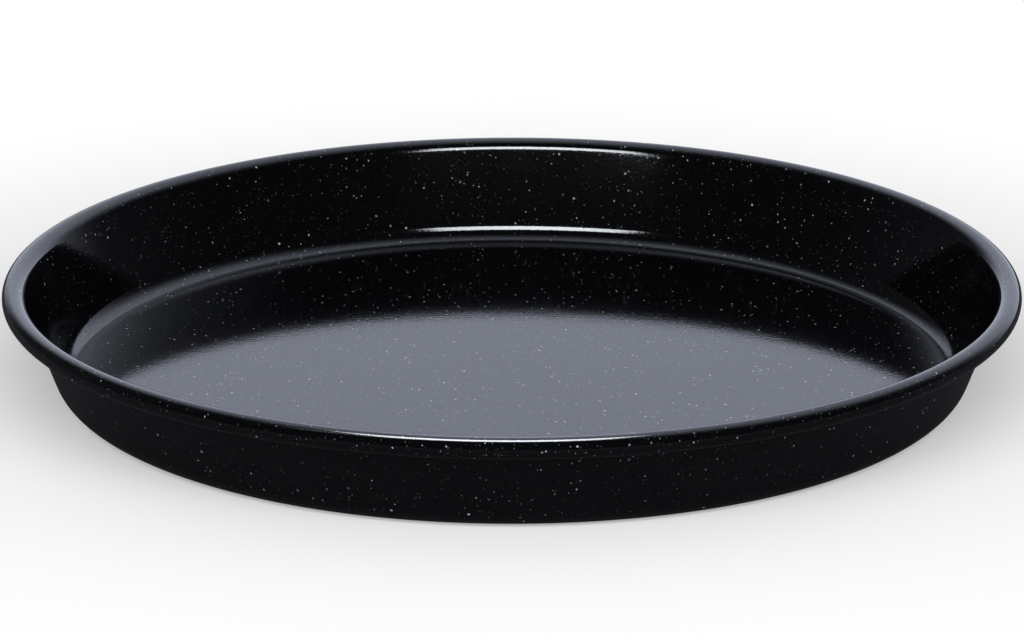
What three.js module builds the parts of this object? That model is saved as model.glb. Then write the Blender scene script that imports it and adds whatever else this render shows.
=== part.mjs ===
import * as THREE from 'three';

// A round pizza pan: one disc of sheet steel, pressed and rolled at the rim, with a coat of
// fired glass enamel on each face. Millimetres, +Z up. The origin is the middle of the
// underside, on the surface that the pan stands on.

// Outside sizes, over the enamel
const rimDiameter = 320;
const panHeight = 33;
const flareAngle = 20.5; // degrees that the wall leans out from upright
const cornerRadius = 8.5; // underside, between the floor and the wall
const crestRadius = 4.5; // where the wall turns over into the top of the rim
const curlRadius = 3.3; // outside of the rolled edge
const curlSweep = 240; // degrees that the edge rolls on, past the top of the rim

// The sheet and its two coats
const steelThickness = 0.7;
const insideCoat = 0.2;
const undersideCoat = 0.2;
const bondGap = 0.01; // between the sheet and a coat, so that each stays a solid of its own

// Facets
const facetsRound = 48;
const facetsInCorner = 5;
const facetsInCrest = 5;
const facetsOverCurl = 5; // from the top of the rim to its outermost edge
const facetsUnderCurl = 7; // and on to the cut edge of the sheet

const flare = THREE.MathUtils.degToRad(flareAngle);
const bend = Math.PI / 2 - flare;
const sweep = THREE.MathUtils.degToRad(curlSweep);

// Each face of the sheet or of a coat is the food face moved into the wall by its depth.
const foodFace = 0;
const insideCoatBack = foodFace + insideCoat;
const steelInnerFace = insideCoatBack + bondGap;
const steelOuterFace = steelInnerFace + steelThickness;
const undersideCoatBack = steelOuterFace + bondGap;
const undersideFace = undersideCoatBack + undersideCoat;

// The bends' centres, in the half plane of radius and height, are shared by every face.
const rimCentreRadius = rimDiameter / 2 - curlRadius;
const curlCentre = new THREE.Vector2(rimCentreRadius, panHeight - curlRadius);
const crestCentre = new THREE.Vector2(rimCentreRadius, panHeight - crestRadius);
const wallTop = new THREE.Vector2(-Math.cos(flare), Math.sin(flare))
  .multiplyScalar(crestRadius - undersideFace)
  .add(crestCentre);
const wallFootRadius = wallTop.x - wallTop.y * Math.tan(flare);
const cornerCentre = new THREE.Vector2(wallFootRadius - cornerRadius * Math.tan(bend / 2), cornerRadius);

// Points on an arc, from one direction to another, both included.
function arc(centre, radius, from, to, facets) {
  return Array.from({ length: facets + 1 }, (_, step) => {
    const angle = from + ((to - from) * step) / facets;
    return new THREE.Vector2(Math.cos(angle), Math.sin(angle)).multiplyScalar(radius).add(centre);
  });
}

// One face from the axis to the rolled edge: floor, corner, wall, crest and curl. The corner
// bends towards the food side, so it widens with depth, and the rim bends the other way.
function face(depth) {
  const down = -Math.PI / 2;
  const outward = 0;
  const up = Math.PI / 2;
  const corner = arc(cornerCentre, cornerRadius - undersideFace + depth, down, down + bend, facetsInCorner);
  const crest = arc(crestCentre, crestRadius - depth, up + bend, up, facetsInCrest);
  const curlOver = arc(curlCentre, curlRadius - depth, up, outward, facetsOverCurl);
  const curlUnder = arc(curlCentre, curlRadius - depth, outward, up - sweep, facetsUnderCurl);
  const middle = new THREE.Vector2(0, corner[0].y);
  return [middle, ...corner, ...crest, ...curlOver.slice(1), ...curlUnder.slice(1)];
}

// The layer between two faces, turned round the pan's axis.
function layer(name, innerDepth, outerDepth, finish) {
  const profile = [...face(outerDepth), ...face(innerDepth).reverse()];
  const geometry = new THREE.LatheGeometry(profile, facetsRound);
  geometry.rotateX(Math.PI / 2);
  const mesh = new THREE.Mesh(geometry, new THREE.MeshStandardMaterial(finish));
  mesh.name = name;
  return mesh;
}

const enamelFinish = { color: 0x0e0f12, roughness: 0.12, metalness: 0 };
const steelFinish = { color: 0x6e7073, roughness: 0.45, metalness: 1 };

const pan = new THREE.Group();
pan.name = 'pizza_pan';
pan.add(layer('inside_enamel', foodFace, insideCoatBack, enamelFinish));
pan.add(layer('steel_body', steelInnerFace, steelOuterFace, steelFinish));
pan.add(layer('underside_enamel', undersideCoatBack, undersideFace, enamelFinish));

export default pan;
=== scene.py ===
import bpy
import math
import numpy as np
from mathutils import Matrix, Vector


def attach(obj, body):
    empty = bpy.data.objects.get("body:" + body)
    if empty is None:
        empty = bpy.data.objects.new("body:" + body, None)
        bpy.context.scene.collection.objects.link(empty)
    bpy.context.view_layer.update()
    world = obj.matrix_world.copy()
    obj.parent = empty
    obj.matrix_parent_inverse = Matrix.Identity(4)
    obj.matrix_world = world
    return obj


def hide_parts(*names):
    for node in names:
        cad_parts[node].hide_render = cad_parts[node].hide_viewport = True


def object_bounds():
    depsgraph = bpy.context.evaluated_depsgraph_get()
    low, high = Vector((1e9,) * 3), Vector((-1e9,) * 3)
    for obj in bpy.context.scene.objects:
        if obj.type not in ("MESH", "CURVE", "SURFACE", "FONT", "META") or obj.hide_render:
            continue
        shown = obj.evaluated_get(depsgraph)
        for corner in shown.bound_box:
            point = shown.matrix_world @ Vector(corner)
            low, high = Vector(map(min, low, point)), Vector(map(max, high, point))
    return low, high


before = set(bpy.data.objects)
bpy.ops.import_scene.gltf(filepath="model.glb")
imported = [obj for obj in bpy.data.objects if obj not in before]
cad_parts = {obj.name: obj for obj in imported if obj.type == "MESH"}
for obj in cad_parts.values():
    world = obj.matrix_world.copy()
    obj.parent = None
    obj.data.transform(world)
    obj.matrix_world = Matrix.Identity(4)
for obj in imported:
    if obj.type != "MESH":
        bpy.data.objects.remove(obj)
cadLow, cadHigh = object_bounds()
print("frame loaded:", ", ".join(sorted(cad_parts)))

mm = 0.001  # everything below is in metres

# The pan's section over the enamel. The rim's reach and height are the frame's own.
panSection = {
    "rimRadius": cadHigh.x,
    "height": cadHigh.z,
    "flare": math.radians(20.5),      # the wall leans out this far from upright
    "cornerRadius": 8.5 * mm,         # underside, floor into wall
    "crestRadius": 4.5 * mm,          # wall into the top of the rim
    "curlRadius": 3.3 * mm,           # outside of the rolled edge
    "curlSweep": math.radians(240),   # how far the edge rolls on past the top
}

# Thicknesses from the food side down, and the depth of each face that they give
sheetLayers = {
    "insideCoat": 0.20 * mm,
    "bondGap": 0.01 * mm,
    "steel": 0.70 * mm,
    "undersideCoat": 0.20 * mm,
}
foodFace = 0.0
insideBack = foodFace + sheetLayers["insideCoat"]
steelTop = insideBack + sheetLayers["bondGap"]
steelUnder = steelTop + sheetLayers["steel"]
undersideBack = steelUnder + sheetLayers["bondGap"]
undersideFace = undersideBack + sheetLayers["undersideCoat"]

# A pressing is never quite true: the floor undulates and the rim is a little out of round
pressing = {
    "floorWave": 0.030 * mm,
    "waveLengths": (0.083, 0.117, 0.061),
    "waveHeadings": (0.4, 1.9, 3.3),  # radians
    "waveReach": 0.86,                # share of the rim's radius at which the waves have died out
    "rimSag": 0.12 * mm,
    "sagTurn": 0.7,                   # radians that the sag's two lobes are turned
    "rimPinch": 0.15 * mm,
    "pinchTurn": -0.5,                # and the pinch's three
}

# Points along each stretch of a face, and facets round the pan
fineCounts = {"floor": 60, "corner": 24, "wall": 24, "crest": 20, "curl": 44, "around": 288}
steelCounts = {"floor": 30, "corner": 16, "wall": 12, "crest": 12, "curl": 30, "around": 288}
crispAngle = math.radians(50)  # sharper edges, such as the sheet's cut edge, stay crisp


def arcPoints(centre, radius, start, end, count):
    # points at equal angles on a circle, from start to end, without the first
    a = np.linspace(start, end, count + 1)[1:]
    return np.column_stack([centre[0] + radius * np.cos(a), centre[1] + radius * np.sin(a)])


def linePoints(first, last, count):
    # points at equal steps on a straight line, without the first
    t = np.linspace(0, 1, count + 1)[1:, None]
    return first + (last - first) * t


def faceLine(depth, counts):
    # radius and height along one face, from the middle of the floor to the cut edge:
    # floor, arc up into the wall, wall, arc out over the crest, and the curl round its centre
    s = panSection
    up, down = math.pi / 2, -math.pi / 2
    bend = math.pi / 2 - s["flare"]
    rimCentre = s["rimRadius"] - s["curlRadius"]
    curl = np.array([rimCentre, s["height"] - s["curlRadius"]])
    crest = np.array([rimCentre, s["height"] - s["crestRadius"]])
    away = np.array([-math.cos(s["flare"]), math.sin(s["flare"])])  # from the wall to the food side
    wallTop = crest + away * (s["crestRadius"] - undersideFace)
    wallFoot = wallTop[0] - wallTop[1] * math.tan(s["flare"])
    corner = np.array([wallFoot - s["cornerRadius"] * math.tan(bend / 2), s["cornerRadius"]])
    cornerRadius = s["cornerRadius"] - undersideFace + depth
    floorEnd = corner - np.array([0, cornerRadius])
    floor = linePoints(np.array([0, floorEnd[1]]), floorEnd, counts["floor"])
    turnUp = arcPoints(corner, cornerRadius, down, down + bend, counts["corner"])
    crestStart = crest + away * (s["crestRadius"] - depth)
    wall = linePoints(turnUp[-1], crestStart, counts["wall"])
    turnOut = arcPoints(crest, s["crestRadius"] - depth, up + bend, up, counts["crest"])
    roll = arcPoints(curl, s["curlRadius"] - depth, up, up - s["curlSweep"], counts["curl"])
    return np.vstack([floor, turnUp, wall, turnOut, roll])


def pressingOffsets(radius, height, angle):
    # floor: crossing sine waves that die out at the corner, lifted to stay above the table;
    # wall and rim: a two-lobed sag and a three-lobed pinch that grow with height
    s, p = panSection, pressing
    x, y = radius * np.cos(angle), radius * np.sin(angle)
    wave = np.zeros_like(x)
    for length, heading in zip(p["waveLengths"], p["waveHeadings"]):
        wave += np.sin(2 * math.pi / length * (x * math.cos(heading) + y * math.sin(heading)) + heading)
    fade = np.clip(1 - (radius / (p["waveReach"] * s["rimRadius"])) ** 2, 0, 1) ** 2
    lift = p["floorWave"] * (wave / len(p["waveLengths"]) + 1) * fade
    rise = np.clip(height / s["height"], 0, 1) ** 2
    sag = p["rimSag"] * (0.5 + 0.5 * np.cos(2 * angle + p["sagTurn"])) * rise
    pinch = p["rimPinch"] * (0.5 + 0.5 * np.cos(3 * angle + p["pinchTurn"])) * rise
    return -pinch, lift - sag


def turnedLayer(name, nearDepth, farDepth, counts):
    # surface of revolution of a closed outline, out along the near face and back along the far one:
    # x = r(s) cos a, y = r(s) sin a, z = z(s), with one vertex where each face meets the axis
    around = counts["around"]
    near, far = faceLine(nearDepth, counts), faceLine(farDepth, counts)
    guide = np.vstack([near, near[::-1]])  # both faces move together, so the wall keeps its thickness
    line = np.vstack([near, far[::-1]])
    a = np.linspace(0, 2 * math.pi, around, endpoint=False)[None, :]
    outward, upward = pressingOffsets(guide[:, :1], guide[:, 1:], a)
    r = line[:, :1] + outward
    z = line[:, 1:] + upward
    rings = np.stack([r * np.cos(a), r * np.sin(a), z], axis=2).reshape(-1, 3)
    lift = pressingOffsets(np.zeros((1, 1)), np.zeros((1, 1)), np.zeros((1, 1)))[1][0, 0]
    poles = np.array([[0, 0, near[0, 1] + lift], [0, 0, far[0, 1] + lift]])
    points = np.vstack([rings, poles])

    step = np.arange(around)
    after = (step + 1) % around
    row = np.arange(len(line) - 1)[:, None] * around
    nextRow = row + around
    quads = np.stack([row + step, nextRow + step, nextRow + after, row + after], axis=2).reshape(-1, 4)
    nearPole, farPole = len(rings), len(rings) + 1
    last = len(rings) - around
    nearFan = np.column_stack([np.full(around, nearPole), step, after])
    farFan = np.column_stack([np.full(around, farPole), last + after, last + step])

    faces = np.concatenate([quads.ravel(), nearFan.ravel(), farFan.ravel()])
    sizes = np.concatenate([np.full(len(quads), 4), np.full(2 * around, 3)])
    mesh = bpy.data.meshes.new(name)
    mesh.vertices.add(len(points))
    mesh.vertices.foreach_set("co", points.astype(np.float32).ravel())
    mesh.loops.add(len(faces))
    mesh.loops.foreach_set("vertex_index", faces.astype(np.int32))
    mesh.polygons.add(len(sizes))
    mesh.polygons.foreach_set("loop_start", (np.cumsum(sizes) - sizes).astype(np.int32))
    mesh.polygons.foreach_set("use_smooth", np.ones(len(sizes), dtype=bool))
    mesh.update(calc_edges=True)
    mesh.validate()
    mesh.set_sharp_from_angle(angle=crispAngle)
    piece = bpy.data.objects.new(name, mesh)
    bpy.context.scene.collection.objects.link(piece)
    return piece


def newMaterial(name):
    material = bpy.data.materials.new(name)
    material.use_nodes = True
    tree = material.node_tree
    tree.nodes.clear()
    return material, tree


def addNode(tree, kind, inputs=None, **settings):
    # one node, with its settings and the values or links of its inputs
    node = tree.nodes.new(kind)
    for key, value in settings.items():
        setattr(node, key, value)
    for key, value in (inputs or {}).items():
        if isinstance(value, bpy.types.NodeSocket):
            tree.links.new(value, node.inputs[key])
        else:
            node.inputs[key].default_value = value
    return node


def mathNode(tree, operation, first, second=0.0):
    return addNode(tree, "ShaderNodeMath", {0: first, 1: second}, operation=operation).outputs[0]


def vectorMath(tree, operation, inputs):
    return addNode(tree, "ShaderNodeVectorMath", inputs, operation=operation).outputs


def mixColour(tree, factor, first, second):
    mix = addNode(tree, "ShaderNodeMix", {"Factor": factor, "A": first, "B": second}, data_type="RGBA")
    return mix.outputs["Result"]


def noiseNode(tree, place, scale, detail=1.0):
    return addNode(tree, "ShaderNodeTexNoise", {"Vector": place, "Scale": scale, "Detail": detail}).outputs


def rangeNode(tree, value, start, end, first=0.0, last=1.0, curve="LINEAR"):
    # goes from first to last while the value goes from start to end
    ends = {"From Min": start, "From Max": end, "To Min": first, "To Max": last}
    node = addNode(tree, "ShaderNodeMapRange", {"Value": value, **ends}, interpolation_type=curve)
    return node.outputs["Result"]


def newGroup(name, inputs, outputs):
    # a node group with what it is given and what it puts out: a place called Vector, and numbers
    group = bpy.data.node_groups.new(name, "ShaderNodeTree")
    for side, labels in (("INPUT", inputs), ("OUTPUT", outputs)):
        for label in labels:
            kind = "NodeSocketVector" if label == "Vector" else "NodeSocketFloat"
            group.interface.new_socket(label, in_out=side, socket_type=kind)
    return group, group.nodes.new("NodeGroupInput").outputs, group.nodes.new("NodeGroupOutput").inputs


# How a fleck lies in its cell
fleckForm = {
    "wobbleScale": 1500.0, "wobbleReach": 0.35 * mm,  # its outline isn't quite round
    "sizePower": 2.0,                                 # more small flecks than large ones
    "tonePower": 1.9,                                 # more dull ones than pale ones
    "solidTo": 0.55, "goneBy": 1.2,                   # shares of its radius between which it fades out
}


def fleckGroup():
    # round flecks at the feature points of a cell pattern: each cell draws its own radius, keeps or
    # drops its fleck, and gives it a tone
    group, given, result = newGroup("enamelFlecks", ["Vector", "Cells", "Share", "Smallest", "Largest"],
                                    ["Mask", "Tone"])
    wobble = noiseNode(group, given["Vector"], fleckForm["wobbleScale"])["Color"]
    centred = vectorMath(group, "SUBTRACT", {0: wobble, 1: (0.5, 0.5, 0.5)})[0]
    moved = vectorMath(group, "SCALE", {0: centred, "Scale": fleckForm["wobbleReach"]})[0]
    place = vectorMath(group, "ADD", {0: given["Vector"], 1: moved})[0]
    cells = addNode(group, "ShaderNodeTexVoronoi", {"Vector": place, "Scale": given["Cells"]}).outputs
    draw = addNode(group, "ShaderNodeSeparateColor", {"Color": cells["Color"]}).outputs
    size = mathNode(group, "POWER", draw["Red"], fleckForm["sizePower"])
    radius = rangeNode(group, size, 0.0, 1.0, given["Smallest"], given["Largest"])
    solid = mathNode(group, "MULTIPLY", radius, fleckForm["solidTo"])
    gone = mathNode(group, "MULTIPLY", radius, fleckForm["goneBy"])
    disc = rangeNode(group, cells["Distance"], solid, gone, 1.0, 0.0, "SMOOTHSTEP")
    kept = mathNode(group, "LESS_THAN", draw["Green"], given["Share"])
    group.links.new(mathNode(group, "MULTIPLY", disc, kept), result["Mask"])
    group.links.new(mathNode(group, "POWER", draw["Blue"], fleckForm["tonePower"]), result["Tone"])
    return group


# Noise scales of the glaze: the orange peel's two, and the clouds in its gloss
glazeScales = {"broad": 130.0, "fine": 900.0, "cloud": 22.0, "cloudDetail": 3.0}


def glazeGroup():
    # fired glass settles into a faint orange peel: a broad and a fine noise added as one height
    group, given, result = newGroup("firedGlaze", ["Vector", "Broad", "Fine"], ["Height", "Cloud"])
    broad = noiseNode(group, given["Vector"], glazeScales["broad"])["Fac"]
    fine = noiseNode(group, given["Vector"], glazeScales["fine"])["Fac"]
    cloud = noiseNode(group, given["Vector"], glazeScales["cloud"], glazeScales["cloudDetail"])["Fac"]
    height = mathNode(group, "ADD", mathNode(group, "MULTIPLY", broad, given["Broad"]),
                      mathNode(group, "MULTIPLY", fine, given["Fine"]))
    group.links.new(height, result["Height"])
    group.links.new(cloud, result["Cloud"])
    return group


flecks = fleckGroup()
glaze = glazeGroup()

# Black glass with white and blue-grey flecks and a finer, fainter dust of them, closer together on the
# food side. Cells are counted along a metre, and the flecks' radii are shares of a cell.
insideEnamel = {
    "black": (0.0013, 0.0014, 0.0018, 1),
    "palest": (0.44, 0.45, 0.47, 1),
    "dullest": (0.045, 0.048, 0.055, 1),
    "fleckCells": 800.0, "fleckShare": 0.155, "fleckSmallest": 0.11, "fleckLargest": 0.33,
    "dustCells": 1100.0, "dustShare": 0.80, "dustSmallest": 0.09, "dustLargest": 0.25,
    "dustStrength": 0.28,
    "glassIor": 1.52,
    "roughness": (0.062, 0.079), "clouds": (0.3, 0.7),
    "dropRoughness": 0.07,
    "peelBroad": 0.4, "peelFine": 0.5, "peelDepth": 0.03 * mm,
}
# the outer coat is the same glass with sparser flecks; its palest flecks are dimmer as painted shade, for
# the lower light on the outside of the wall
shadedUndersideEnamel = dict(insideEnamel, palest=(0.36, 0.37, 0.385, 1), fleckShare=0.12, dustShare=0.70,
                       roughness=(0.07, 0.10))


def enamelMaterial(name, look):
    material, tree = newMaterial(name)
    place = addNode(tree, "ShaderNodeTexCoord").outputs["Object"]
    fleck = addNode(tree, "ShaderNodeGroup", {"Vector": place}, node_tree=flecks)
    dust = addNode(tree, "ShaderNodeGroup", {"Vector": place}, node_tree=flecks)
    for node, kind in ((fleck, "fleck"), (dust, "dust")):
        for label in ("Cells", "Share", "Smallest", "Largest"):
            node.inputs[label].default_value = look[kind + label]
    skin = addNode(tree, "ShaderNodeGroup", {"Vector": place}, node_tree=glaze)
    skin.inputs["Broad"].default_value = look["peelBroad"]
    skin.inputs["Fine"].default_value = look["peelFine"]

    tone = mixColour(tree, fleck.outputs["Tone"], look["dullest"], look["palest"])
    faint = mathNode(tree, "MULTIPLY", dust.outputs["Mask"], dust.outputs["Tone"])
    dusting = mathNode(tree, "MULTIPLY", faint, look["dustStrength"])
    dusty = mixColour(tree, dusting, look["black"], look["palest"])
    colour = mixColour(tree, fleck.outputs["Mask"], dusty, tone)
    # each fleck is a drop of glass of its own, which mirrors more than the coat round it
    drops = mathNode(tree, "MAXIMUM", fleck.outputs["Mask"], dust.outputs["Mask"])
    rough = rangeNode(tree, skin.outputs["Cloud"], *look["clouds"], *look["roughness"])
    peel = addNode(tree, "ShaderNodeBump", {"Height": skin.outputs["Height"], "Strength": 1.0,
                                            "Distance": look["peelDepth"]})
    shader = addNode(tree, "ShaderNodeBsdfPrincipled",
                     {"Base Color": colour, "Roughness": rough, "Normal": peel.outputs["Normal"],
                      "IOR": look["glassIor"], "Coat Weight": drops,
                      "Coat Roughness": look["dropRoughness"]})
    addNode(tree, "ShaderNodeOutputMaterial", {"Surface": shader.outputs["BSDF"]})
    return material


# The one place where bare metal shows: the sheet's cut edge inside the curl, dulled by the kiln
bareSteel = {
    "bright": (0.42, 0.42, 0.43, 1),
    "scale": (0.10, 0.095, 0.10, 1),
    "patches": 60.0, "patchEdges": (0.35, 0.65),
    "grain": 900.0, "grainStretch": (1, 1, 6),
    "noiseDetail": 4.0,
    "roughness": (0.35, 0.6),
    "scratchStrength": 0.3, "scratchDepth": 0.05 * mm,
}


def steelMaterial(name, look):
    material, tree = newMaterial(name)
    place = addNode(tree, "ShaderNodeTexCoord").outputs["Object"]
    stretched = addNode(tree, "ShaderNodeMapping", {"Vector": place, "Scale": look["grainStretch"]})
    grain = noiseNode(tree, stretched.outputs["Vector"], look["grain"], look["noiseDetail"])["Fac"]
    patches = noiseNode(tree, place, look["patches"], look["noiseDetail"])["Fac"]
    dull = rangeNode(tree, patches, *look["patchEdges"])
    colour = mixColour(tree, dull, look["bright"], look["scale"])
    rough = rangeNode(tree, grain, 0.0, 1.0, *look["roughness"])
    scratch = addNode(tree, "ShaderNodeBump", {"Height": grain, "Strength": look["scratchStrength"],
                                               "Distance": look["scratchDepth"]})
    shader = addNode(tree, "ShaderNodeBsdfPrincipled",
                     {"Base Color": colour, "Metallic": 1.0, "Roughness": rough,
                      "Normal": scratch.outputs["Normal"]})
    addNode(tree, "ShaderNodeOutputMaterial", {"Surface": shader.outputs["BSDF"]})
    return material


# The sheet and its two coats, each in place of one of the part's solids
layers = [
    {"name": "speckled_food_coat", "node": "inside_enamel", "slot": "inside_enamel",
     "near": foodFace, "far": insideBack, "counts": fineCounts,
     "material": enamelMaterial("speckledFoodEnamel", insideEnamel)},
    {"name": "pressed_sheet", "node": "steel_body", "slot": "sheet_steel",
     "near": steelTop, "far": steelUnder, "counts": steelCounts,
     "material": steelMaterial("kilnDulledSteel", bareSteel)},
    {"name": "speckled_outer_coat", "node": "underside_enamel", "slot": "underside_enamel",
     "near": undersideBack, "far": undersideFace, "counts": fineCounts,
     "material": enamelMaterial("speckledOuterEnamel", shadedUndersideEnamel)},
]
for layer in layers:
    piece = turnedLayer(layer["name"], layer["near"], layer["far"], layer["counts"])
    piece.data.materials.append(layer["material"])
    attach(piece, "root")
    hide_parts(layer["node"])
    print("made", layer["name"], "with", len(piece.data.polygons), "faces")

# Plain white table: mostly lit as it is near the pan, where it keeps the shadow, and plain white to the
# eye and in reflections far out
table = {
    "reach": 6.0, "colour": (0.97, 0.97, 0.97, 1),
    "whiteFrom": 0.15, "whiteBy": 0.34,  # distances from the middle
    "leastWhite": 0.3,                   # share of plain white near the pan
}


def tableTop():
    # a flat square at the pan's foot
    r = table["reach"]
    mesh = bpy.data.meshes.new("table")
    mesh.from_pydata([(-r, -r, 0), (r, -r, 0), (r, r, 0), (-r, r, 0)], [], [(0, 1, 2, 3)])
    top = bpy.data.objects.new("table", mesh)
    bpy.context.scene.collection.objects.link(top)
    material, tree = newMaterial("whiteTable")
    place = addNode(tree, "ShaderNodeTexCoord").outputs["Object"]
    away = vectorMath(tree, "LENGTH", {0: place})["Value"]
    far = rangeNode(tree, away, table["whiteFrom"], table["whiteBy"], table["leastWhite"],
                    curve="SMOOTHSTEP")
    path = addNode(tree, "ShaderNodeLightPath").outputs
    seen = mathNode(tree, "MAXIMUM", path["Is Camera Ray"],
                    mathNode(tree, "MAXIMUM", path["Is Glossy Ray"], path["Is Transmission Ray"]))
    lit = addNode(tree, "ShaderNodeBsdfDiffuse", {"Color": table["colour"]})
    white = addNode(tree, "ShaderNodeEmission", {"Color": (1, 1, 1, 1), "Strength": 1.0})
    mix = addNode(tree, "ShaderNodeMixShader", {0: mathNode(tree, "MULTIPLY", far, seen),
                                                1: lit.outputs[0], 2: white.outputs[0]})
    addNode(tree, "ShaderNodeOutputMaterial", {"Surface": mix.outputs[0]})
    mesh.materials.append(material)
    return top


tableTop()

# A dark card lies round the pan, seen only by reflections: painted shade on the table, darkest near the
# pan, so the outside of the wall mirrors dark grey and stays nearly as deep as the inside
paintedShadeCard = {
    "inner": 0.125, "outer": 5.9, "height": 0.4 * mm, "around": 96,
    "near": (0.075, 0.075, 0.085, 1), "far": (0.15, 0.15, 0.16, 1),
    "fade": (0.18, 0.75),  # distances from the middle between which the painted shade gets paler
}


def paintedShadeRing():
    # a flat ring between two circles, x = r cos a, y = r sin a
    around = paintedShadeCard["around"]
    a = np.linspace(0, 2 * math.pi, around, endpoint=False)
    circle = np.column_stack([np.cos(a), np.sin(a), np.zeros_like(a)])
    points = np.vstack([circle * paintedShadeCard["inner"], circle * paintedShadeCard["outer"]])
    points[:, 2] = paintedShadeCard["height"]
    step = np.arange(around)
    after = (step + 1) % around
    faces = np.column_stack([step, step + around, after + around, after])
    mesh = bpy.data.meshes.new("paintedShade")
    mesh.from_pydata(points.tolist(), [], faces.tolist())
    ring = bpy.data.objects.new("paintedShade", mesh)
    bpy.context.scene.collection.objects.link(ring)
    material, tree = newMaterial("paintedShadeGrey")
    place = addNode(tree, "ShaderNodeTexCoord").outputs["Object"]
    away = vectorMath(tree, "LENGTH", {0: place})["Value"]
    # painted shade: darkest near the pan, where its shadow would lie on the table, and paler further out
    grey = mixColour(tree, rangeNode(tree, away, *paintedShadeCard["fade"]), paintedShadeCard["near"], paintedShadeCard["far"])
    cloth = addNode(tree, "ShaderNodeBsdfDiffuse", {"Color": grey})
    addNode(tree, "ShaderNodeOutputMaterial", {"Surface": cloth.outputs[0]})
    mesh.materials.append(material)
    for rayKind in ("camera", "diffuse", "transmission", "volume_scatter", "shadow"):
        setattr(ring, "visible_" + rayKind, False)
    return ring


paintedShadeRing()
print("table and card laid")

# The studio: a white backdrop behind the pan, a little to the right, that fades out overhead and to the
# sides, a dim room, a wide soft key above the camera, which reflections don't see, and two small softboxes
# near the pan, back to back, that draw the bright lines: one along the far rim and corner, one along the
# near rim
studio = {
    "backdrop": (0.93, 1.0, 1.21),
    "room": 0.018,
    "backdropAhead": (-0.25, 0.5),    # share of the direction that points behind, dark to full
    "backdropSide": (0.305, 0.755),   # share that points sideways, full to nearly dark
    "backdropShift": 0.145,           # how far that is shifted to the right
    "backdropEdge": 0.03,             # share of the backdrop that is left at its sides
    "bounce": 0.3,                    # even light off the room's walls, in diffuse light only
    "key": {"size": (2.8, 1.0), "place": (0, -1.2, 0.88), "tilt": math.radians(54), "radiance": 3.5},
    "farStrip": {"size": (0.312, 0.206), "place": (-0.030, -0.155, 0.292), "tilt": math.radians(90),
                 "radiance": 20.0},
    "nearStrip": {"size": (0.195, 0.102), "place": (-0.014, -0.119, 0.236), "tilt": math.radians(-50),
                  "radiance": 22.0},
    "stripTint": (0.91, 0.95, 1.0),
    "stripFall": 0.45,                # share of the light lost towards the ends of a softbox
    "stripBorder": 0.14,              # share of its breadth over which each edge fades out
}


def studioWorld():
    world = bpy.data.worlds.new("studio")
    bpy.context.scene.world = world
    world.use_nodes = True
    tree = world.node_tree
    tree.nodes.clear()
    toward = addNode(tree, "ShaderNodeTexCoord").outputs["Generated"]
    axis = addNode(tree, "ShaderNodeSeparateXYZ", {0: toward}).outputs
    dark, full = studio["backdropAhead"]
    tall = rangeNode(tree, axis["Y"], dark, full, curve="SMOOTHSTEP")
    full, dark = studio["backdropSide"]
    sideways = mathNode(tree, "ABSOLUTE", mathNode(tree, "SUBTRACT", axis["X"], studio["backdropShift"]))
    wide = rangeNode(tree, sideways, full, dark, 1.0, studio["backdropEdge"], "SMOOTHSTEP")
    backdrop = mathNode(tree, "MULTIPLY", wide, tall)
    room = (studio["room"],) * 3 + (1,)
    walls = (studio["bounce"],) * 3 + (1,)
    path = addNode(tree, "ShaderNodeLightPath").outputs
    scenery = mixColour(tree, backdrop, room, studio["backdrop"] + (1,))
    lit = mixColour(tree, path["Is Diffuse Ray"], scenery, walls)
    colour = mixColour(tree, path["Is Camera Ray"], lit, (1, 1, 1, 1))
    light = addNode(tree, "ShaderNodeBackground", {"Color": colour, "Strength": 1.0})
    addNode(tree, "ShaderNodeOutputWorld", {"Surface": light.outputs[0]})


def areaLamp(name, look):
    # a rectangle of even radiance, facing down and tilted: power is radiance times pi times area
    lamp = bpy.data.lights.new(name, "AREA")
    lamp.shape = "RECTANGLE"
    lamp.size, lamp.size_y = look["size"]
    lamp.energy = look["radiance"] * math.pi * lamp.size * lamp.size_y
    holder = bpy.data.objects.new(name, lamp)
    holder.location = look["place"]
    holder.rotation_euler = (look["tilt"], 0, 0)
    bpy.context.scene.collection.objects.link(holder)
    holder.visible_camera = False
    return holder


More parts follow.
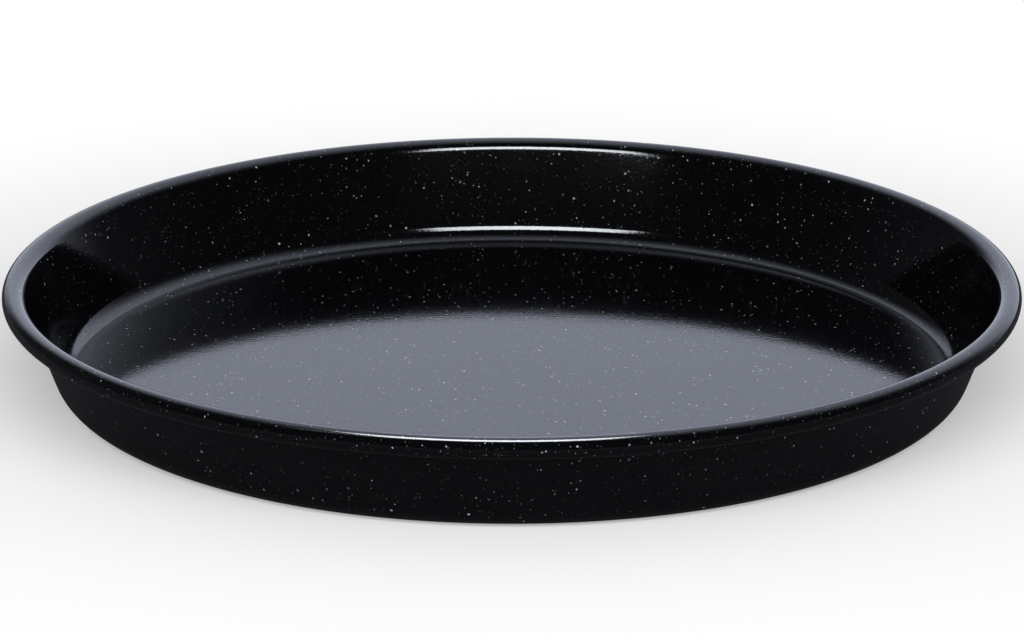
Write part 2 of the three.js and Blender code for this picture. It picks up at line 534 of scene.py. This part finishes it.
def softboxCloth(lamp):
    # brightest in the middle and soft at the edges: 1 - fall * (2u - 1) squared, with u from 0 to 1
    # along the box, times a smooth rise over the border at each of its four sides
    lamp.use_nodes = True
    tree = lamp.node_tree
    tree.nodes.clear()
    spot = addNode(tree, "ShaderNodeNewGeometry").outputs["Parametric"]
    axis = addNode(tree, "ShaderNodeSeparateXYZ", {0: spot}).outputs
    fromMiddle = mathNode(tree, "MULTIPLY", mathNode(tree, "SUBTRACT", axis["X"], 0.5), 2.0)
    squared = mathNode(tree, "MULTIPLY", fromMiddle, fromMiddle)
    lost = mathNode(tree, "MULTIPLY", squared, studio["stripFall"])
    strength = mathNode(tree, "SUBTRACT", 1.0, lost)
    for across in (axis["X"], axis["Y"]):
        inward = mathNode(tree, "MINIMUM", across, mathNode(tree, "SUBTRACT", 1.0, across))
        edge = rangeNode(tree, inward, 0.0, studio["stripBorder"], curve="SMOOTHSTEP")
        strength = mathNode(tree, "MULTIPLY", strength, edge)
    cloth = addNode(tree, "ShaderNodeEmission", {"Color": studio["stripTint"] + (1,), "Strength": strength})
    addNode(tree, "ShaderNodeOutputLight", {"Surface": cloth.outputs[0]})


studioWorld()
areaLamp("key", studio["key"]).visible_glossy = False
for name in ("farStrip", "nearStrip"):
    strip = areaLamp(name, studio[name])
    strip.visible_diffuse = False
    softboxCloth(strip.data)
print("studio lit")

# The photograph's camera, looking down at the pan from the front
camera = {
    "distance": 1.635, "elevation": math.radians(18.49), "pitch": math.radians(17.857),
    "lens": 181.5, "sensorWidth": 36.0,
}


def frontCamera():
    data = bpy.data.cameras.new("camera")
    data.lens = camera["lens"]
    data.sensor_width = camera["sensorWidth"]
    data.sensor_fit = "HORIZONTAL"
    holder = bpy.data.objects.new("camera", data)
    reach, height = math.cos(camera["elevation"]), math.sin(camera["elevation"])
    holder.location = (0, -camera["distance"] * reach, camera["distance"] * height)
    holder.rotation_euler = (math.pi / 2 - camera["pitch"], 0, 0)
    bpy.context.scene.collection.objects.link(holder)
    bpy.context.scene.camera = holder


frontCamera()
bpy.context.scene.view_settings.view_transform = "Standard"

bpy.context.view_layer.update()
